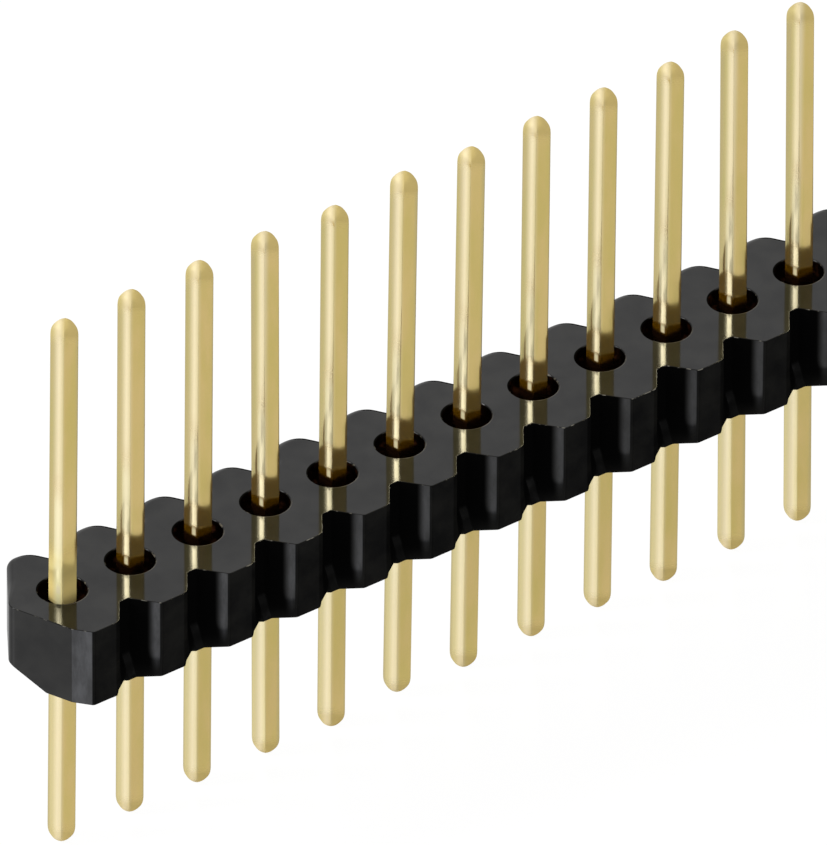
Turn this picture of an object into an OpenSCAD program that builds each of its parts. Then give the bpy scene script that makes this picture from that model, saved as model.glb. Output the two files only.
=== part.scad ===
// Straight pin header strip, single row: square posts pressed through one moulded insulator.
// The row runs along X, the posts stand along Z, and Z = 0 is the underside that sits on the board.
// The low-X end is the end that was snapped off a longer strip.

/* [Row] */
// Number of posts, and so of moulded cells
pin_count = 20; // [2:1:40]
// Distance from one post's axis to the next
pitch = 2.54; // [2.3:0.02:3.96]

/* [Insulator] */
// Height of the moulded body
body_h = 2.64; // [1.6:0.02:5]
// Depth across the row, over the flat faces of the cells
body_d = 4.74; // [3.9:0.02:7]
// Depth across the row at the snap-off notches
waist_d = 3.1; // [2:0.02:3.4]
// Length of the flat bottom of a notch, along the row
notch_floor = 0.32; // [0.16:0.02:0.4]
// Length of the flat face of a cell, along the row
cell_face = 0.96; // [0.7:0.02:1.1]
// Radius of the upright corners of a cell
cell_corner_r = 0.3; // [0.04:0.01:0.4]
// Radius of the inner corners at the bottom of a notch
notch_corner_r = 0.08; // [0.02:0.01:0.1]
// How far the cells sit off their posts, along the row
cell_offset = -0.1; // [-0.15:0.01:0.15]
// Distance from the first post to the front edge of the snapped end
snap_reach = 1.06; // [1.02:0.01:1.1]
// Angle of the snapped end, off square to the row
snap_skew = 20; // [10:1:24]
// Width of the snapped end, up to where its back corner chipped off
snap_w = 2.2; // [1.8:0.05:2.6]
// Angle of the chipped back corner, off square to the row
chip_skew = 36; // [30:1:45]
// Distance along the snapped end to where its foot chipped off
foot_chip_start = 0.85; // [0.7:0.05:1.2]
// Direction of the edge that chip left on the underside, from the row
foot_chip_turn = 68; // [60:1:80]
// Slope of the chipped foot
foot_chip_tilt = 34; // [20:1:40]

/* [Post seats] */
// Diameter of the round recess at the foot of each post
recess_d = 1.5; // [1.1:0.05:1.8]
// Depth of that recess below the top face
recess_depth = 0.4; // [0.1:0.05:1]
// Width of the bevel round the mouth of the recess
recess_bevel = 0.04; // [0.02:0.01:0.1]

/* [Posts] */
// Width of the square post across its flats
pin_w = 0.64; // [0.4:0.02:0.76]
// Radius of the long edges of a post
pin_edge_r = 0.05; // [0.03:0.01:0.16]
// Length of a post above the top face
pin_above = 9.64; // [3:0.02:20]
// Length of a post below the underside
pin_below = 6.38; // [2:0.02:12]
// Radius of the arc that rounds a tip, seen from the side
tip_arc_r = 0.62; // [0.5:0.02:1.2]
// Radius of the small flat left where the tip was cut from the wire
tip_flat_r = 0.09; // [0.04:0.01:0.14]
// Gap on each side between a post and its hole; 0 is the press fit that holds the post
post_fit = 0; // [0:0.01:0.05]

/* [Hidden] */
function pin_x(i) = (i - (pin_count - 1) / 2) * pitch;
function pin_name(i) = str("pin_", i < 9 ? "0" : "", i + 1);

// The break runs from the front edge of the snapped end to where the chipped corner starts
snap_front = [-snap_reach, -0.7 * waist_d / 2 - 0.3 * body_d / 2];
snap_along = [-sin(snap_skew), cos(snap_skew)];
chip_front = snap_front + snap_w * snap_along;
foot_chip = snap_front + foot_chip_start * snap_along;

row_start = -pin_count * pitch / 2 + cell_offset;
row_end = pin_count * pitch / 2 + cell_offset;
flank_run = (pitch - notch_floor - cell_face) / 2;
corner_steps = 5;

// Radius of the round dome that shapes a tip. It just clears the long edges of the post.
dome_clearance = 0.01;
dome_r = (pin_w / 2 - pin_edge_r) * sqrt(2) + pin_edge_r + dome_clearance;
// The arc of a tip is centred here, past the axis, so that it leaves the post without a step
tip_arc_x = dome_r - tip_arc_r;
tip_h = sqrt(tip_arc_r * tip_arc_r - (tip_flat_r - tip_arc_x) * (tip_flat_r - tip_arc_x));

overshoot = 1;
$fn = 48;

function unit(v) = v / norm(v);

// Points of the arc of radius r that rounds the corner at p, on the way from one point to the next.
function corner_arc(before, p, after, r) =
    let (
        a = unit(before - p),
        b = unit(after - p),
        half = acos(a * b) / 2,
        centre = p + unit(a + b) * r / sin(half),
        start = p + a * r / tan(half) - centre,
        turn = (180 - 2 * half) * sign(a[1] * b[0] - a[0] * b[1])
    )
    [for (k = [0 : corner_steps])
        let (angle = turn * k / corner_steps)
        centre + [
            start[0] * cos(angle) - start[1] * sin(angle),
            start[0] * sin(angle) + start[1] * cos(angle)
        ]];

// One side of a cell, for a viewer in front of it, from left to right: the end of a notch's floor,
// the rising flank, the flat face, the falling flank and the start of the next floor.
function cell_side() =
    let (
        floor_y = -waist_d / 2,
        face_y = -body_d / 2,
        corners = [
            [-pitch / 2, floor_y],
            [-cell_face / 2 - flank_run, floor_y],
            [-cell_face / 2, face_y],
            [cell_face / 2, face_y],
            [cell_face / 2 + flank_run, floor_y],
            [pitch / 2, floor_y]
        ],
        radii = [0, notch_corner_r, cell_corner_r, cell_corner_r, notch_corner_r]
    )
    [for (c = [1 : 4]) each corner_arc(corners[c - 1], corners[c], corners[c + 1], radii[c])];

// The front of the row from left to right. One more cell is drawn at the snapped end, for the cut.
function row_side() =
    [for (i = [-1 : pin_count - 1], p = cell_side()) p + [pin_x(i) + cell_offset, 0]];

module row_outline() {
    front = concat(
        [[row_start - pitch, -waist_d / 2]],
        row_side(),
        [[row_end, -waist_d / 2]]
    );
    back = [for (k = [len(front) - 1 : -1 : 0]) [front[k][0], -front[k][1]]];
    polygon(concat(front, back));
}

// Everything beyond the snapped end: the break itself, the corner that chipped off behind it and the
// chip under its foot.
module beyond_snap() {
    reach = pitch + body_d;
    translate([pin_x(0) + foot_chip[0], foot_chip[1], 0])
        rotate([0, 0, foot_chip_turn])
            rotate([foot_chip_tilt, 0, 0])
                translate([-reach, -overshoot, -reach])
                    cube([2 * reach, reach + overshoot, reach]);
    for (cut = [[snap_front, snap_skew], [chip_front, -chip_skew]])
        translate([pin_x(0) + cut[0][0], cut[0][1], -overshoot])
            rotate(cut[1])
                translate([-2 * reach, -2 * reach, 0])
                    cube([2 * reach, 4 * reach, body_h + 2 * overshoot]);
}

// The seat of one post: a square hole right through, and a bevelled round recess at the top.
module post_seat() {
    hole_w = pin_w + 2 * post_fit;
    translate([-hole_w / 2, -hole_w / 2, -overshoot])
        cube([hole_w, hole_w, body_h + 2 * overshoot]);
    translate([0, 0, body_h - recess_depth])
        cylinder(d = recess_d, h = recess_depth + overshoot);
    translate([0, 0, body_h - recess_bevel])
        cylinder(d1 = recess_d, d2 = recess_d + 4 * recess_bevel, h = 2 * recess_bevel);
}

module insulator() {
    color([0.07, 0.07, 0.075])
        difference() {
            linear_extrude(height = body_h) row_outline();
            beyond_snap();
            for (i = [0 : pin_count - 1])
                translate([pin_x(i), 0, 0]) post_seat();
        }
}

// A length of the square wire, standing on Z = 0, with its long edges rounded.
module wire(length) {
    flat_w = pin_w - 2 * pin_edge_r;
    translate([-pin_w / 2, -flat_w / 2, 0]) cube([pin_w, flat_w, length]);
    translate([-flat_w / 2, -pin_w / 2, 0]) cube([flat_w, pin_w, length]);
    for (x = [-1, 1], y = [-1, 1])
        translate([x * flat_w / 2, y * flat_w / 2, 0]) cylinder(r = pin_edge_r, h = length);
}

// What is trimmed away to round a tip that starts at Z = 0: all that lies outside and over a dome.
module tip_trim() {
    rotate_extrude()
        difference() {
            square([2 * dome_r, tip_h + overshoot]);
            intersection() {
                square([2 * dome_r, tip_h]);
                translate([tip_arc_x, 0]) circle(r = tip_arc_r);
            }
        }
}

module post() {
    bottom = -pin_below;
    top = body_h + pin_above;
    color([0.83, 0.72, 0.40])
        difference() {
            translate([0, 0, bottom]) wire(top - bottom);
            translate([0, 0, top - tip_h]) tip_trim();
            translate([0, 0, bottom + tip_h]) mirror([0, 0, 1]) tip_trim();
        }
}

insulator();
for (i = [0 : pin_count - 1])
    translate([pin_x(i), 0, 0]) post();
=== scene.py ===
import math

import bmesh
import bpy
from mathutils import Matrix, Vector


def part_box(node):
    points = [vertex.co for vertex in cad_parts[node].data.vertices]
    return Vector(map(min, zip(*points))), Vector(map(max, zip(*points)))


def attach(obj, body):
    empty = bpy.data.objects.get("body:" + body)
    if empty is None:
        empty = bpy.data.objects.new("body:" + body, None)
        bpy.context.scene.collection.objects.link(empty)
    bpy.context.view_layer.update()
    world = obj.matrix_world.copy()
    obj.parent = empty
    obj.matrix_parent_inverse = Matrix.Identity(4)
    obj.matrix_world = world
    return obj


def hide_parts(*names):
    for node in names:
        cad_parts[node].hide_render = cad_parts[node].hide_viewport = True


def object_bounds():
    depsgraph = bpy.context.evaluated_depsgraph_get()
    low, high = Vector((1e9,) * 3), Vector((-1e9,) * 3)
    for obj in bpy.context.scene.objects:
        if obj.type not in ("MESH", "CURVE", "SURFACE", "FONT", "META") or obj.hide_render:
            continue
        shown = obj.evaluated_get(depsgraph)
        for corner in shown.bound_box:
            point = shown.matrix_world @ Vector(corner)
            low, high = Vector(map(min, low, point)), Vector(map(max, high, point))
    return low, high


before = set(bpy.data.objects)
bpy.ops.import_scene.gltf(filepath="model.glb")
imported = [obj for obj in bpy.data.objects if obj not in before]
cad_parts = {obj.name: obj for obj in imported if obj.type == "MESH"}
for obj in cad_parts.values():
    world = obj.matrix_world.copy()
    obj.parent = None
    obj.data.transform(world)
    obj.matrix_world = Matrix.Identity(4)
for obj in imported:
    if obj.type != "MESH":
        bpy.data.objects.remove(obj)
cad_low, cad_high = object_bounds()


# ---------------------------------------------------------------- Moulded insulator
# One glass-filled plastic moulding for the whole row: a chain of eight-sided cells joined at snap-off
# notches. Each cell has a round recess with a square hole through its floor, where the post is pressed in.

MM = 0.001

POST_NODES = sorted(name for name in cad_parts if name.startswith("pin_"))
post_boxes = [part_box(name) for name in POST_NODES]
post_x = [(low.x + high.x) / 2 for low, high in post_boxes]
pitch = post_x[1] - post_x[0]
insulator_low, insulator_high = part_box("insulator")
body_top = insulator_high.z
body_foot = insulator_low.z

FACE_Y = insulator_high.y
WAIST_Y = 1.55 * MM
NOTCH_FLOOR = 0.32 * MM
BACK_FLOOR = 0.6 * MM
CELL_FACE = 0.96 * MM
FRONT_OFFSET = -0.15 * MM
BACK_OFFSET = -0.05 * MM
NEAR_CORNER_R = 0.16 * MM
FAR_CORNER_R = 0.3 * MM
BACK_CORNER_R = 0.78 * MM
FRONT_NOTCH_R = 0.08 * MM
BACK_NOTCH_R = 0.2 * MM
FRONT_END_R = 0.06 * MM
BACK_END_R = 0.04 * MM
CHIP_R = 0.45 * MM
SNAP_FRONT = Vector((post_x[0] - 1.06 * MM, -1.796 * MM))
SNAP_W = 2.2 * MM
SNAP_SKEW = math.radians(20)
snap = Vector((-math.sin(SNAP_SKEW), math.cos(SNAP_SKEW)))
CHIP_SKEW = math.radians(36)
FOOT_CHIP_START = 0.85 * MM
FOOT_CHIP_TURN = math.radians(68)
FOOT_CHIP_TILT = math.radians(34)
CRISP_RIM_R = 0.02 * MM
BACK_RIM_R = 0.28 * MM
FAR_FOOT_R = 0.26 * MM
FOOT_RISE = 1.6
NOTCH_FLARE = 0.48
FLARE_RISE = 1.0 * MM
RIM_STEPS = 6
EDGE_GUARD = 0.012 * MM
WALL_STEP = 0.1 * MM
CORNER_STEPS = 8
BACK_RIM_START = 0.2 * MM
BACK_RIM_RUN = 1.3 * MM
SQUARE_END_RUN = 0.6 * MM
NOTCH_REACH = 1.2 * MM
RECESS_R = 0.75 * MM
RECESS_DEPTH = 0.4 * MM
RECESS_BEVEL = 0.04 * MM
RECESS_FILLET = 0.08 * MM
RECESS_SIDES = 64
HOLE_W = 0.64 * MM
HOLE_FLARE = 0.02 * MM
FILL_SCALE = 1000
row_end = insulator_high.x


def smoothstep(value):
    """0 up to 0, 1 from 1 on, smooth between."""
    t = min(max(value, 0), 1)
    return t * t * (3 - 2 * t)


def corner_arc(before, corner, after, radius):
    """Points of the arc that rounds a corner, on the way from one neighbour to the other."""
    a = (before - corner).normalized()
    b = (after - corner).normalized()
    half = a.angle(b) / 2
    centre = corner + (a + b).normalized() * (radius / math.sin(half))
    start = corner + a * (radius / math.tan(half)) - centre
    turn = (math.pi - 2 * half) * (1 if a.y * b.x - a.x * b.y > 0 else -1)
    return [
        centre + Matrix.Rotation(turn * k / CORNER_STEPS, 2) @ start
        for k in range(CORNER_STEPS + 1)
    ]


def rounded(corners):
    """A closed outline from its corners, each a point and the radius that rounds it."""
    outline = []
    for k, (corner, radius) in enumerate(corners):
        before = corners[k - 1][0]
        after = corners[(k + 1) % len(corners)][0]
        outline += corner_arc(before, corner, after, radius)
    return outline


def subdivided(outline, step):
    """The closed outline with no side longer than a step."""
    points = []
    for k, p in enumerate(outline):
        q = outline[(k + 1) % len(outline)]
        parts = max(1, math.ceil((q - p).length / step))
        points += [p.lerp(q, j / parts) for j in range(parts)]
    return points


def inset(outline, distances):
    """The outline, which runs anticlockwise, moved inward square to its sides."""
    moved = []
    for k, p in enumerate(outline):
        along = (p - outline[k - 1]).normalized()
        onward = (outline[(k + 1) % len(outline)] - p).normalized()
        n1 = Vector((-along.y, along.x))
        n2 = Vector((-onward.y, onward.x))
        moved.append(p + (n1 + n2) * (distances[k] / (1 + n1.dot(n2))))
    return moved


def broken_off(corners, start, heading, radius):
    """The corners that lie to the right of a break line, with a new corner at each end of the break."""
    kept = []
    for k, (p, p_radius) in enumerate(corners):
        q = corners[(k + 1) % len(corners)][0]
        p_side = heading.x * (p - start).y - heading.y * (p - start).x
        q_side = heading.x * (q - start).y - heading.y * (q - start).x
        if p_side <= 0:
            kept.append((p, p_radius))
        if (p_side <= 0) != (q_side <= 0):
            kept.append((p.lerp(q, p_side / (p_side - q_side)), radius))
    return kept


def insulator_corners():
    """Corners of the row seen from above, anticlockwise from the front of the snapped end."""
    half_floor = NOTCH_FLOOR / 2
    half_back = BACK_FLOOR / 2
    half_face = CELL_FACE / 2
    half_cell = pitch / 2
    cells = [post_x[0] - pitch] + post_x
    far = cells[0] - half_cell
    front = []
    back = []
    for x in cells:
        middle = x + FRONT_OFFSET
        front += [
            (Vector((middle - half_cell + half_floor, -WAIST_Y)), FRONT_NOTCH_R),
            (Vector((middle - half_face, -FACE_Y)), NEAR_CORNER_R),
            (Vector((middle + half_face, -FACE_Y)), FAR_CORNER_R),
            (Vector((middle + half_cell - half_floor, -WAIST_Y)), FRONT_NOTCH_R),
        ]
    for x in reversed(cells):
        middle = x + BACK_OFFSET
        first_r = FRONT_NOTCH_R if x == post_x[-1] else BACK_NOTCH_R
        back += [
            (Vector((middle + half_cell - half_back, WAIST_Y)), first_r),
            (Vector((middle + half_face, FACE_Y)), BACK_CORNER_R),
            (Vector((middle - half_face, FACE_Y)), BACK_CORNER_R),
            (Vector((middle - half_cell + half_back, WAIST_Y)), BACK_NOTCH_R),
        ]
    whole = (
        [(Vector((far, -WAIST_Y)), FRONT_END_R)]
        + front
        + [(Vector((row_end, -WAIST_Y)), FRONT_END_R), (Vector((row_end, WAIST_Y)), BACK_END_R)]
        + back
        + [(Vector((far, WAIST_Y)), FRONT_END_R)]
    )
    chip = Vector((math.sin(CHIP_SKEW), math.cos(CHIP_SKEW)))
    snapped = broken_off(whole, SNAP_FRONT, snap, FRONT_END_R)
    chipped = broken_off(snapped, SNAP_FRONT + snap * SNAP_W, chip, CHIP_R)
    return chipped


def bridge(bm, lower, upper):
    """Side faces between two rings of the same length, facing out for anticlockwise rings."""
    for k in range(len(lower)):
        j = (k + 1) % len(lower)
        bm.faces.new((lower[k], lower[j], upper[j], upper[k]))


def close_flat(bm, rings, normal):
    """Fills the flat region between an outer ring and the holes in it, at a size the filler resolves."""
    edges = [bm.edges.get((ring[k - 1], ring[k])) for ring in rings for k in range(len(ring))]
    bmesh.ops.scale(bm, vec=(FILL_SCALE, FILL_SCALE, FILL_SCALE), verts=bm.verts)
    bmesh.ops.triangle_fill(bm, edges=edges, use_beauty=True, normal=normal)
    bmesh.ops.scale(bm, vec=(1 / FILL_SCALE, 1 / FILL_SCALE, 1 / FILL_SCALE), verts=bm.verts)


def circle(centre_x, radius):
    """An anticlockwise circle of points round a post."""
    turn = 2 * math.pi / RECESS_SIDES
    return [
        Vector((centre_x + radius * math.cos(turn * k), radius * math.sin(turn * k)))
        for k in range(RECESS_SIDES)
    ]


def square(centre_x, width):
    """Points on a square, one on each ray of the circle round it."""
    points = []
    for k in range(RECESS_SIDES):
        angle = 2 * math.pi * k / RECESS_SIDES
        x, y = math.cos(angle), math.sin(angle)
        reach = width / 2 / max(abs(x), abs(y))
        points.append(Vector((centre_x + reach * x, reach * y)))
    return points


def add_ring(bm, points, heights):
    """A ring of vertices, at one height or at a height for each."""
    if not isinstance(heights, list):
        heights = [heights] * len(points)
    return [bm.verts.new((p.x, p.y, z)) for p, z in zip(points, heights)]


def top_rim_radius(p):
    """The top edge is crisp in front and rounded at the back."""
    behind = smoothstep((p.y - BACK_RIM_START) / BACK_RIM_RUN)
    clear = smoothstep((row_end - p.x) / SQUARE_END_RUN)
    return CRISP_RIM_R + (BACK_RIM_R - CRISP_RIM_R) * behind * clear


def foot_rim_radius(before, p, after):
    """The foot is rounded on the sides that look along the row towards its square end."""
    along = (after - before).normalized()
    looks_on = smoothstep((along.y - 0.2) / 0.4)
    clear = smoothstep((row_end - p.x) / SQUARE_END_RUN)
    return CRISP_RIM_R + (FAR_FOOT_R - CRISP_RIM_R) * looks_on * clear


def flared(p, z):
    """A front notch is shallower at its foot, where the moulding keeps a web."""
    if p.y > -NOTCH_REACH or not post_x[0] < p.x < post_x[-1]:
        return p
    share = NOTCH_FLARE * (1 - smoothstep((z - body_foot) / FLARE_RISE))
    return Vector((p.x, p.y - (p.y + FACE_Y) * share))


outline = subdivided(rounded(insulator_corners()), WALL_STEP)
eased_foot = [
    foot_rim_radius(outline[k - 1], p, outline[(k + 1) % len(outline)])
    for k, p in enumerate(outline)
]
eased_top = [top_rim_radius(p) for p in outline]
bm = bmesh.new()
rings = []


def wall_ring(depths, heights):
    """The next ring of the wall upwards, joined to the ring below it."""
    points = [flared(p, z) for p, z in zip(inset(outline, depths), heights)]
    ring = add_ring(bm, points, heights)
    if rings:
        bridge(bm, rings[-1], ring)
    rings.append(ring)


wall_ring([r + EDGE_GUARD for r in eased_foot], [body_foot] * len(outline))
for k in range(RIM_STEPS, -1, -1):
    turn = math.pi / 2 * k / RIM_STEPS
    wall_ring(
        [r * (1 - math.cos(turn)) for r in eased_foot],
        [body_foot + FOOT_RISE * r * (1 - math.sin(turn)) for r in eased_foot],
    )
wall_ring([0] * len(outline), [body_foot + FOOT_RISE * r + EDGE_GUARD for r in eased_foot])
for rise in (0.55, 0.7, 0.85, 1.0):
    wall_ring([0] * len(outline), [body_foot + rise * FLARE_RISE] * len(outline))
wall_ring([0] * len(outline), [body_top - r - EDGE_GUARD for r in eased_top])
for k in range(RIM_STEPS + 1):
    turn = math.pi / 2 * k / RIM_STEPS
    wall_ring(
        [r * (1 - math.cos(turn)) for r in eased_top],
        [body_top - r * (1 - math.sin(turn)) for r in eased_top],
    )
wall_ring([r + EDGE_GUARD for r in eased_top], [body_top] * len(outline))

mouths = []
feet = []
FILLET_STEPS = 4
floor_z = body_top - RECESS_DEPTH
for x in post_x:
    seat = [
        (RECESS_R + RECESS_BEVEL + EDGE_GUARD, body_top),
        (RECESS_R + RECESS_BEVEL, body_top),
        (RECESS_R + RECESS_BEVEL * 0.35, body_top - RECESS_BEVEL * 0.3),
        (RECESS_R, body_top - RECESS_BEVEL),
        (RECESS_R, body_top - RECESS_BEVEL - EDGE_GUARD),
        (RECESS_R, floor_z + RECESS_FILLET + EDGE_GUARD),
    ]
    for k in range(FILLET_STEPS + 1):
        turn = math.pi / 2 * k / FILLET_STEPS
        seat.append((
            RECESS_R - RECESS_FILLET * (1 - math.cos(turn)),
            floor_z + RECESS_FILLET * (1 - math.sin(turn)),
        ))
    seat.append((RECESS_R - RECESS_FILLET - EDGE_GUARD, floor_z))
    seat_rings = [add_ring(bm, circle(x, radius), z) for radius, z in seat]
    seat_rings.append(add_ring(bm, square(x, HOLE_W + 2 * (HOLE_FLARE + EDGE_GUARD)), floor_z))
    seat_rings.append(add_ring(bm, square(x, HOLE_W + 2 * HOLE_FLARE), floor_z))
    seat_rings.append(add_ring(bm, square(x, HOLE_W), floor_z - HOLE_FLARE))
    seat_rings.append(add_ring(bm, square(x, HOLE_W), body_foot + HOLE_FLARE))
    seat_rings.append(add_ring(bm, square(x, HOLE_W + 2 * HOLE_FLARE), body_foot))
    for upper, lower in zip(seat_rings, seat_rings[1:]):
        bridge(bm, upper, lower)
    mouths.append(seat_rings[0])
    feet.append(seat_rings[-1])
close_flat(bm, [rings[-1]] + mouths, Vector((0, 0, 1)))
close_flat(bm, [rings[0]] + feet, Vector((0, 0, -1)))
bmesh.ops.recalc_face_normals(bm, faces=bm.faces)
for face in bm.faces:
    face.smooth = True

foot_chip = SNAP_FRONT + snap * FOOT_CHIP_START
chip_face = Matrix.Rotation(FOOT_CHIP_TURN, 3, "Z") @ Matrix.Rotation(FOOT_CHIP_TILT, 3, "X")
chipped = bmesh.ops.bisect_plane(
    bm,
    geom=bm.verts[:] + bm.edges[:] + bm.faces[:],
    plane_co=(foot_chip.x, foot_chip.y, body_foot),
    plane_no=chip_face @ Vector((0, 0, -1)),
    clear_outer=True,
)
rim = [part for part in chipped["geom_cut"] if isinstance(part, bmesh.types.BMEdge)]
bmesh.ops.contextual_create(bm, geom=rim)
for edge in rim:
    edge.smooth = False

insulator_mesh = bpy.data.meshes.new("insulator_moulding")
bm.to_mesh(insulator_mesh)
bm.free()
insulator = bpy.data.objects.new("insulator_moulding", insulator_mesh)
bpy.context.scene.collection.objects.link(insulator)
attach(insulator, "root")
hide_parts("insulator")


class Signal:
    """A shader socket that can stand in a Python expression."""

    def __init__(self, finish, socket):
        self.finish = finish
        self.socket = socket

    def maths(self, operation, *terms):
        return self.finish.node("ShaderNodeMath", {"operation": operation}, dict(enumerate(terms)))

    def __add__(self, other):
        return self.maths("ADD", self, other)

    def __radd__(self, other):
        return self.maths("ADD", other, self)

    def __sub__(self, other):
        return self.maths("SUBTRACT", self, other)

    def __rsub__(self, other):
        return self.maths("SUBTRACT", other, self)

    def __mul__(self, other):
        return self.maths("MULTIPLY", self, other)

    def __rmul__(self, other):
        return self.maths("MULTIPLY", other, self)

    def __neg__(self):
        return self.maths("MULTIPLY", self, -1)

    def __abs__(self):
        return self.maths("ABSOLUTE", self)

    def root(self):
        return self.maths("SQRT", self)

    def wrapped(self, half):
        """The value brought into the span from minus half to half by whole periods."""
        return self.maths("WRAP", self, half, -half)

    def at_least(self, other):
        return self.maths("MAXIMUM", self, other)

    def at_most(self, other):
        return self.maths("MINIMUM", self, other)

    def ramp(self, low, high):
        """0 below low, 1 above high, smooth between."""
        return self.finish.node(
            "ShaderNodeMapRange",
            {"interpolation_type": "SMOOTHSTEP"},
            {0: self, 1: low, 2: high},
        )


class Finish:
    """A node material, or the world, under construction."""

    def __init__(self, owner):
        owner.use_nodes = True
        self.tree = owner.node_tree
        self.tree.nodes.clear()
        self.owner = owner

    def node(self, kind, settings=None, inputs=None, output=0):
        made = self.tree.nodes.new(kind)
        for name, value in (settings or {}).items():
            setattr(made, name, value)
        for name, value in (inputs or {}).items():
            if isinstance(value, Signal):
                self.tree.links.new(value.socket, made.inputs[name])
            else:
                made.inputs[name].default_value = value
        return Signal(self, made.outputs[output]) if made.outputs else None

    def blend(self, factor, first, second):
        """A colour between two others."""
        return self.node(
            "ShaderNodeMix",
            {"data_type": "RGBA"},
            {0: factor, 6: first, 7: second},
            output=2,
        )

    def noise(self, where, scale, detail, roughness):
        return self.node(
            "ShaderNodeTexNoise",
            {"noise_dimensions": "3D"},
            {"Vector": where, "Scale": scale, "Detail": detail, "Roughness": roughness},
        )

    def stretched(self, where, factors):
        return self.node("ShaderNodeVectorMath", {"operation": "MULTIPLY"}, {0: where, 1: factors})


def part_of(finish, vector):
    """The three parts of a vector."""
    split = finish.node("ShaderNodeSeparateXYZ", {}, {0: vector})
    return [Signal(finish, out) for out in split.socket.node.outputs]


plastic = Finish(bpy.data.materials.new("insulator_plastic"))
place = plastic.node("ShaderNodeTexCoord", output="Object")
facing = plastic.node("ShaderNodeNewGeometry", output="Normal")
x, y, z = part_of(plastic, place)
normal_x, normal_y, normal_z = part_of(plastic, facing)

from_post_x = (x - post_x[0]).wrapped(pitch / 2)
from_post = (from_post_x * from_post_x + y * y).root()
notch_x = post_x[0] + FRONT_OFFSET - pitch / 2
from_notch = abs((x - notch_x).wrapped(pitch / 2))

upright = 1 - abs(normal_z).ramp(0.3, 0.7)
cell_front = abs(normal_y).ramp(0.93, 0.985)
past_snap = (x - post_x[0]).ramp(-0.5 * MM, -0.3 * MM)
above_web = z.ramp(-0.3 * MM, 0.5 * MM)
in_notch = (1 - from_notch.ramp(0.5 * MM, 0.68 * MM)) * upright * past_snap * above_web
near_post = 1 - from_post.ramp(0.75 * MM, 0.77 * MM)
# Painted shade: the recess below the top is painted darker.
seat_shade_mask = near_post * (1 - z.ramp(body_top - 0.05 * MM, body_top - 0.04 * MM))
near_flank = (-normal_y).ramp(0.42, 0.58) * (-normal_x).ramp(0.62, 0.78)
# Painted sheen: the flank faces are painted a lighter grey where they would catch the lit surroundings.
flank_sheen = near_flank * (1 - cell_front) * (1 - in_notch) * upright
on_rim = upright * abs(normal_z).ramp(0.05, 0.2) + (1 - upright) * (1 - abs(normal_z).ramp(0.9, 0.99))
looks_on = normal_x.ramp(0.02, 0.12)

grain = plastic.noise(place, 9000, 3, 0.6)
mottle = plastic.noise(place, 900, 3, 0.6)
# Streaks that break up the painted flank sheen.
sheen_streaks = plastic.noise(plastic.stretched(place, (1, 1, 0.35)), 2600, 4, 0.6).ramp(0.25, 0.8)
glints = plastic.noise(place, 2500, 3, 0.6).ramp(0.5, 0.75)
skin = plastic.blend(mottle.ramp(0.3, 0.7), (0.0035, 0.0035, 0.0036, 1), (0.0095, 0.0093, 0.0084, 1))
# The painted flank sheen fades along the row as the light falls off.
sheen_fade_along_row = 1 - x.ramp(post_x[1], post_x[8]) * 0.5
flank_sheen_color = plastic.blend(flank_sheen * sheen_fade_along_row * (sheen_streaks * 0.7 + 0.3), skin, (0.09, 0.092, 0.1, 1))
# Painted shade: the notch walls between the cells are painted near black.
shaded = plastic.blend(in_notch, flank_sheen_color, (0.0025, 0.0025, 0.0025, 1))
in_front = 1 - y.ramp(0.1 * MM, 0.5 * MM)
top_edge = z.ramp(body_top - 0.06 * MM, body_top - 0.04 * MM)
# Painted glints: pale specks along the front top rim.
rim_glint_spots = plastic.noise(place, 4500, 2, 0.5).ramp(0.56, 0.68) * top_edge
rim_glint_color = plastic.blend(on_rim * in_front * rim_glint_spots * 0.8, shaded, (0.34, 0.32, 0.27, 1))
round_mouth = from_post.ramp(0.745 * MM, 0.76 * MM) * (1 - from_post.ramp(0.79 * MM, 0.82 * MM))
# Painted highlight: a pale, broken line on the front half of each recess lip.
lip_highlight = round_mouth * (1 - y.ramp(-0.6 * MM, -0.3 * MM))
lip_highlight_color = plastic.blend(lip_highlight * (glints * 0.6 + 0.4), rim_glint_color, (0.14, 0.12, 0.09, 1))
# Painted shade inside each recess: near black, with red-brown specks painted as reflections of the gold post.
seat_shade_and_reflection = plastic.blend(glints, (0.003, 0.0012, 0.0008, 1), (0.05, 0.018, 0.008, 1))
seat_shaded_color = plastic.blend(seat_shade_mask, lip_highlight_color, seat_shade_and_reflection)
tilted = 1 - abs(normal_z).ramp(0.98, 0.9995)
at_corner = (-normal_x).ramp(0.1, 0.25) * (1 - (-normal_x).ramp(0.7, 0.78)) * (-normal_y).ramp(0.6, 0.7)
at_snap = (-normal_x).ramp(0.3, 0.6) * normal_y.ramp(-0.33, 0.1) * upright
dull_front = cell_front * upright * 0.92
dull_corner = at_corner * upright * 0.85
rim_loss = in_front * (0.4 - glints * 0.5) + 0.25
shine = (1 - at_snap * 0.45) * (1 - dull_front) * (1 - dull_corner) * (1 - in_notch) * (1 - looks_on * tilted)
polish = shine * (1 - seat_shade_mask) * (1 - on_rim * rim_loss) * (0.84 + mottle * 0.32)
plastic_bump = plastic.node(
    "ShaderNodeBump",
    {},
    {"Strength": 0.05, "Distance": 0.01 * MM, "Height": grain + mottle * 3},
)
plastic_skin = plastic.node(
    "ShaderNodeBsdfPrincipled",
    {},
    {
        "Base Color": seat_shaded_color,
        "Roughness": 0.45,
        "Specular IOR Level": 0.0,
        "Coat Weight": polish,
        "Coat Roughness": 0.08,
        "Coat IOR": 1.43,
        "Normal": plastic_bump,
    },
)
plastic.node("ShaderNodeOutputMaterial", {}, {"Surface": plastic_skin})
insulator.data.materials.append(plastic.owner)


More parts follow.
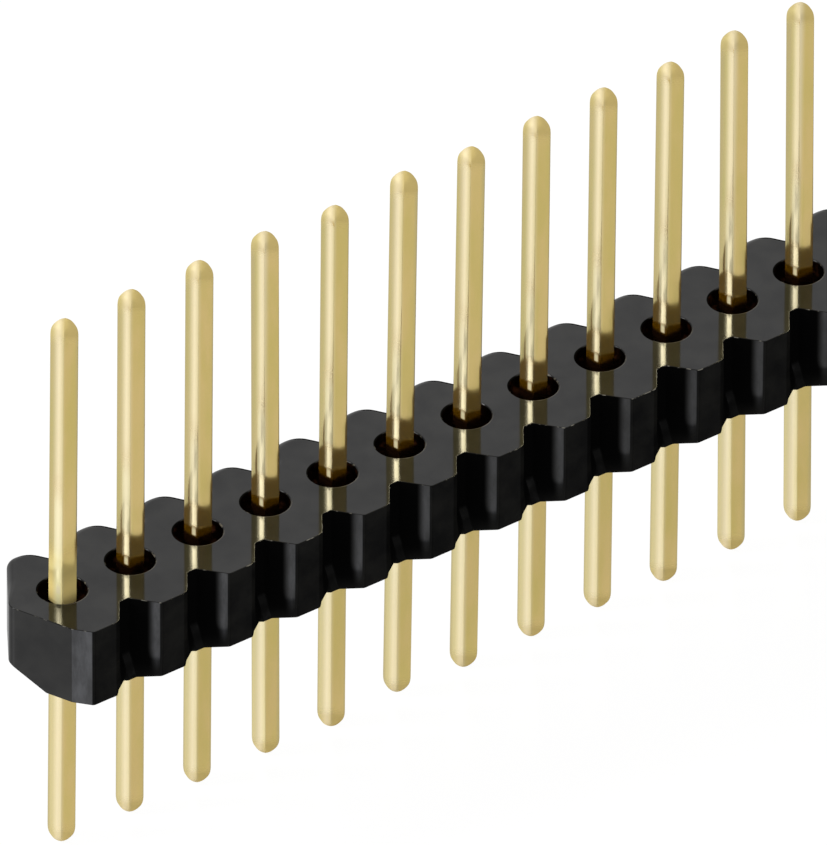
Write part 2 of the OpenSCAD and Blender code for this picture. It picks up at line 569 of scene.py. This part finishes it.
# ---------------------------------------------------------------- Posts
# Lengths of square copper-alloy wire, thinly gold plated. One long edge of each is rolled over and both
# tips are coined round. Each is pressed through the insulator, and leans a little where it leaves it.

POST_HALF = HOLE_W / 2
POST_EDGE_R = 0.045 * MM
POST_SIDE_R = 0.08 * MM
ROLL_X = 0.062 * MM
ROLL_Y = 0.34 * MM
ROLL_R = 1.0 * MM
ROLL_EDGE_R = 0.014 * MM
TIP_ARC_R = 0.62 * MM
TIP_FLAT_R = 0.09 * MM
DOME_R = 0.442 * MM
TIP_BLEND = 8
SECTION_STEP = 0.08 * MM
ROLL_SHARE = Vector((0.33, 0.5))
TIP_STEPS = 18
SHAFT_STEPS = 12
LEAN = 0.3
OWN_LEAN = {"pin_01": 0.5, "pin_04": -0.15, "pin_06": 0.6, "pin_07": 0.6, "pin_11": -0.2, "pin_12": -0.3}
lean_way = Vector((0.79, -0.61, 0))
SEAT_SHIFT = {"pin_05": -0.1 * MM, "pin_06": 0.09 * MM, "pin_07": -0.06 * MM, "pin_10": -0.1 * MM}
post_low = post_boxes[0][0].z
post_high = post_boxes[0][1].z


def post_section():
    """The post seen from above, anticlockwise: square, with one edge rolled over."""
    h = POST_HALF
    corners = [
        (Vector((h, h)), POST_EDGE_R),
        (Vector((-h, h)), POST_SIDE_R),
        (Vector((-h, ROLL_Y - h)), ROLL_R),
        (Vector((ROLL_X * ROLL_SHARE.x - h, ROLL_Y * ROLL_SHARE.y - h)), ROLL_R),
        (Vector((ROLL_X - h, -h)), ROLL_EDGE_R),
        (Vector((h, -h)), POST_SIDE_R),
    ]
    return subdivided(rounded(corners), SECTION_STEP)


def dome_radius(height):
    """Radius of the round tip at a height above where the tip starts."""
    return DOME_R - TIP_ARC_R + math.sqrt(max(TIP_ARC_R ** 2 - height ** 2, 0))


tip_height = math.sqrt(TIP_ARC_R ** 2 - (TIP_FLAT_R - DOME_R + TIP_ARC_R) ** 2)


def tipped(section, height):
    """The section drawn in by the round tip: the corners first, then the faces."""
    limit = dome_radius(height)
    drawn = []
    for p in section:
        whole = 1 + (p.length / DOME_R) ** TIP_BLEND
        cut = 1 + (p.length / limit) ** TIP_BLEND
        drawn.append(p * (whole / cut) ** (1 / TIP_BLEND))
    return drawn


def build_post(name, x, lean, seat_shift):
    """One post at its place in the row, leaning where it stands clear of the body."""
    bm = bmesh.new()
    section = post_section()
    tip = [tip_height * math.sin(math.pi / 2 * k / TIP_STEPS) for k in range(TIP_STEPS + 1)]
    shaft_low = post_low + tip_height
    shaft_high = post_high - tip_height
    levels = [(height, shaft_low - height) for height in reversed(tip)]
    for k in range(1, SHAFT_STEPS):
        levels.append((0, shaft_low + (shaft_high - shaft_low) * k / SHAFT_STEPS))
    levels += [(height, shaft_high + height) for height in tip]
    rings = [add_ring(bm, tipped(section, height), z) for height, z in levels]
    for lower, upper in zip(rings, rings[1:]):
        bridge(bm, lower, upper)
    bm.faces.new(reversed(rings[0]))
    bm.faces.new(rings[-1])
    slope = math.tan(math.radians(lean))
    for vert in bm.verts:
        out = max(vert.co.z - body_top, 0) + min(vert.co.z - body_foot, 0)
        vert.co += lean_way * (slope * out) + Vector((x, 0, seat_shift))
    mesh = bpy.data.meshes.new(name)
    bm.to_mesh(mesh)
    bm.free()
    mesh.shade_smooth()
    post = bpy.data.objects.new(name, mesh)
    bpy.context.scene.collection.objects.link(post)
    return post


# The painted highlight streak lies along one slanting direction across each post, and the tips darken along a
# slope.
STREAK_X = 0.788
STREAK_Y = 0.616
TIP_SLOPE = 0.675

gilt = Finish(bpy.data.materials.new("gilt_post"))
place = gilt.node("ShaderNodeTexCoord", output="Object")
x, y, z = part_of(gilt, place)
die_lines = gilt.noise(gilt.stretched(place, (1, 1, 0.02)), 14000, 2, 0.6)
cloud = gilt.noise(gilt.stretched(place, (1, 1, 0.3)), 1300, 3, 0.55).ramp(0.3, 0.7)
# Painted shade: the post is painted dark where it sits in the recess and just below the body's foot.
seat_shade_mask = z.ramp(body_foot - 0.3 * MM, body_foot) * (1 - z.ramp(body_top - 0.05 * MM, body_top + 0.12 * MM))
gilt_bump = gilt.node(
    "ShaderNodeBump",
    {},
    {"Strength": 0.04, "Distance": 0.01 * MM, "Height": die_lines},
)
facing = gilt.node("ShaderNodeNewGeometry", output="Normal")
normal_x = part_of(gilt, facing)[0]
own_x = (x - post_x[0]).wrapped(pitch / 2)
leant = ((z - body_top).at_least(0) + (z - body_foot).at_most(0)) * math.tan(math.radians(LEAN))
across = own_x * STREAK_X - y * STREAK_Y - leant
level = z + (own_x * STREAK_Y + y * STREAK_X) * TIP_SLOPE
# Painted highlight: a pale bell across each post along the streak.
streak_highlight = 1 - abs(across + 0.13 * MM).ramp(0, 0.225 * MM)
# Painted highlight: in the upper shaft the streak is also painted into the matt part, which softens it.
streak_band = 1 - abs(across + 0.13 * MM).ramp(0.1 * MM, 0.17 * MM)
on_edge = 1 - abs(across + 0.12 * MM).ramp(0.03 * MM, 0.09 * MM)
at_side = abs(across).ramp(0.33 * MM, 0.44 * MM)
at_top = level.ramp(post_high - 1.0 * MM, post_high - 0.35 * MM)
at_tip = at_top + (1 - level.ramp(post_low + 0.05 * MM, post_low + 0.6 * MM))
above_seat = z.ramp(body_top + 0.02 * MM, body_top + 0.1 * MM)
soft_highlight_start = z.ramp(body_top + 0.9 * MM, body_top + 1.4 * MM)
upper_soft_highlight = streak_band * soft_highlight_start * (1 - z.ramp(body_top + 3 * MM, body_top + 4.6 * MM))
# Painted light: the foot of the first post, with no neighbour beside it, is painted brighter and more matt.
first = 1 - x.ramp(post_x[0] + 0.8 * MM, post_x[0] + 0.9 * MM)
above_floor = z.ramp(body_top - 0.4 * MM, body_top - 0.35 * MM)
bright_foot = first * above_floor * (1 - z.ramp(body_top + 0.9 * MM, body_top + 2.0 * MM))
# Painted highlight: a pale stripe on the rolled edge just above the seat carries the streak down to the body.
low_streak_highlight = on_edge * above_seat * (1 - z.ramp(body_top + 0.25 * MM, body_top + 0.5 * MM))
warm = gilt.blend(cloud, (0.82, 0.64, 0.27, 1), (0.75, 0.62, 0.22, 1))
cool = gilt.blend(cloud, (0.71, 0.62, 0.30, 1), (0.66, 0.61, 0.26, 1))
# Painted light: the tails' faces towards the snapped end are painted paler below the body.
tail_lightened = gilt.blend(z.ramp(body_foot - 0.3 * MM, body_foot), (0.92, 0.83, 0.43, 1), cool)
# Painted shading: the faces towards the snapped end get a different gold from the front faces; the cloud is a
# random tone.
gold_by_facing = gilt.blend((-normal_x).ramp(0.2, 0.95), warm, tail_lightened)
# Painted shade: a duller gold along both sides of each post.
side_shaded = gilt.blend(at_side * 0.7, gold_by_facing, (0.60, 0.54, 0.28, 1))
streak_highlighted = gilt.blend(streak_highlight, side_shaded, (0.97, 0.87, 0.57, 1))
# The metal's colour is painted dark in the seat as shade, except at the first post's foot.
plating = gilt.node(
    "ShaderNodeBsdfPrincipled",
    {},
    {
        "Base Color": gilt.blend(seat_shade_mask * (1 - bright_foot), streak_highlighted, (0.2, 0.12, 0.04, 1)),
        "Metallic": 1.0,
        "Roughness": 0.12 + cloud * 0.06 + at_tip.ramp(0.3, 1) * 0.5,
        "Normal": gilt_bump,
    },
)
# A warm diffuse tone, painted dark in the seat as shade.
warm_tone_seat_shaded = gilt.blend(seat_shade_mask, (0.5, 0.22, 0.0, 1), (0.06, 0.025, 0.01, 1))
# Painted light and shade on the matt tips: a duller tone on one side, a warmer one on the other, and the pale
# streak.
tip_lit_sides = gilt.blend(across.ramp(-0.25 * MM, 0.15 * MM), (0.6, 0.5, 0.22, 1), (0.83, 0.65, 0.25, 1))
tip_painted_color = gilt.blend(streak_highlight, tip_lit_sides, (0.88, 0.75, 0.46, 1))
soft_highlighted_color = gilt.blend(upper_soft_highlight, warm_tone_seat_shaded, streak_highlighted)
first_foot_light = gilt.blend(streak_highlight, (1.0, 0.78, 0.28, 1), (1.0, 0.92, 0.5, 1))
first_foot_lit_color = gilt.blend(bright_foot, soft_highlighted_color, first_foot_light)
diffuse_painted_color = gilt.blend(low_streak_highlight, first_foot_lit_color, (0.98, 0.88, 0.55, 1))
# The matt part of the plating, which carries the painted highlights, painted light and painted shade.
painted_diffuse = gilt.node(
    "ShaderNodeBsdfPrincipled",
    {},
    {"Base Color": diffuse_painted_color, "Roughness": 1.0, "Specular IOR Level": 0.0},
)
in_shade = 1 - z.ramp(body_top, body_top + 0.9 * MM)
matt = (low_streak_highlight * 0.8 + upper_soft_highlight * 0.45 + bright_foot * (0.4 + in_shade * 0.5) + 0.15).at_most(1)
shaft_skin = gilt.node("ShaderNodeMixShader", {}, {0: matt, 1: plating, 2: painted_diffuse})
coined_skin = gilt.node(
    "ShaderNodeBsdfPrincipled",
    {},
    {"Base Color": tip_painted_color, "Roughness": 1.0, "Specular IOR Level": 0.0},
)
gilt_skin = gilt.node("ShaderNodeMixShader", {}, {0: at_tip * 0.8, 1: shaft_skin, 2: coined_skin})
gilt.node("ShaderNodeOutputMaterial", {}, {"Surface": gilt_skin})

for name, centre_x in zip(POST_NODES, post_x):
    post = build_post(name + "_plated", centre_x, OWN_LEAN.get(name, LEAN), SEAT_SHIFT.get(name, 0))
    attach(post, "root")
    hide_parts(name)
    post.data.materials.append(gilt.owner)


# ---------------------------------------------------------------- Table, light and camera
# A white table under the tails, one soft lamp to the left of the camera, and white surroundings.

def direction(azimuth, elevation):
    """Unit vector: azimuth from the front towards the snapped end, in degrees."""
    a = math.radians(azimuth)
    e = math.radians(elevation)
    return Vector((-math.sin(a) * math.cos(e), -math.cos(a) * math.cos(e), math.sin(e)))


TABLE_SIZE = 3.0
table_mesh = bpy.data.meshes.new("table")
half_table = TABLE_SIZE / 2
corners = [(-1, -1), (1, -1), (1, 1), (-1, 1)]
table_mesh.from_pydata(
    [(x * half_table, y * half_table, cad_low.z) for x, y in corners],
    [],
    [(0, 1, 2, 3)],
)
table = bpy.data.objects.new("table", table_mesh)
bpy.context.scene.collection.objects.link(table)


def seen_by_camera(finish):
    """1 for the rays that the camera sends, 0 for the rest."""
    return finish.node("ShaderNodeLightPath", output="Is Camera Ray")


table_top = Finish(bpy.data.materials.new("table_top"))
table_lit = table_top.node(
    "ShaderNodeBsdfPrincipled",
    {},
    {"Base Color": (0.88, 0.88, 0.88, 1), "Roughness": 0.32, "Specular IOR Level": 1.0},
)
mirrored = table_top.node("ShaderNodeLightPath", output="Is Glossy Ray")
glow = seen_by_camera(table_top) * 0.26 + 0.8
table_glow = table_top.node("ShaderNodeEmission", {}, {"Color": (1, 1, 1, 1), "Strength": glow})
table_mix = table_top.node(
    "ShaderNodeMixShader",
    {},
    {0: seen_by_camera(table_top) * 0.9 + mirrored * 0.75, 1: table_lit, 2: table_glow},
)
table_top.node("ShaderNodeOutputMaterial", {}, {"Surface": table_mix})
table.data.materials.append(table_top.owner)

room = bpy.data.worlds.new("room")
bpy.context.scene.world = room
surroundings = Finish(room)
mirrored = surroundings.node("ShaderNodeLightPath", output="Is Glossy Ray")
strength = seen_by_camera(surroundings) * 0.4 + mirrored * 0.25 + 0.6
sky = surroundings.node(
    "ShaderNodeBackground",
    {},
    {"Color": (1, 1, 1, 1), "Strength": strength},
)
surroundings.node("ShaderNodeOutputWorld", {}, {"Surface": sky})

aim = Vector((-10.913, 0, 3.193)) * MM


def soft_lamp(name, azimuth, elevation, distance, width, height, radiance):
    """A rectangular lamp that faces the object, set by how bright its face looks."""
    data = bpy.data.lights.new(name, "AREA")
    data.shape = "RECTANGLE"
    data.size = width
    data.size_y = height
    data.energy = radiance * math.pi * width * height
    lamp = bpy.data.objects.new(name, data)
    away = direction(azimuth, elevation)
    lamp.location = aim + away * distance
    lamp.rotation_mode = "QUATERNION"
    lamp.rotation_quaternion = away.to_track_quat("Z", "Y")
    bpy.context.scene.collection.objects.link(lamp)


soft_lamp("key_lamp", azimuth=119.5, elevation=34, distance=0.4, width=0.08, height=0.16, radiance=20)

VIEW_TURN = 38.0
VIEW_RISE = 34.0
VIEW_ROLL = 0.236
VIEW_DISTANCE = 1000 * MM
LENS_LENGTH = 1423.9
SENSOR_SIZE = 36.0
CLIP_START = 0.01
CLIP_END = 10

camera_data = bpy.data.cameras.new("camera")
camera_data.sensor_width = SENSOR_SIZE
camera_data.lens = LENS_LENGTH
camera_data.clip_start = CLIP_START
camera_data.clip_end = CLIP_END
camera = bpy.data.objects.new("camera", camera_data)
backward = direction(VIEW_TURN, VIEW_RISE)
turn = math.radians(VIEW_TURN)
sideways = Vector((math.cos(turn), -math.sin(turn), 0))
upward = backward.cross(sideways)
roll = math.radians(VIEW_ROLL)
side = math.cos(roll) * sideways + math.sin(roll) * upward
head = math.cos(roll) * upward - math.sin(roll) * sideways
axes = Matrix((side, head, backward)).transposed()
camera.matrix_world = Matrix.Translation(aim + backward * VIEW_DISTANCE) @ axes.to_4x4()
bpy.context.scene.collection.objects.link(camera)
bpy.context.scene.camera = camera

bpy.context.scene.view_settings.view_transform = "Standard"
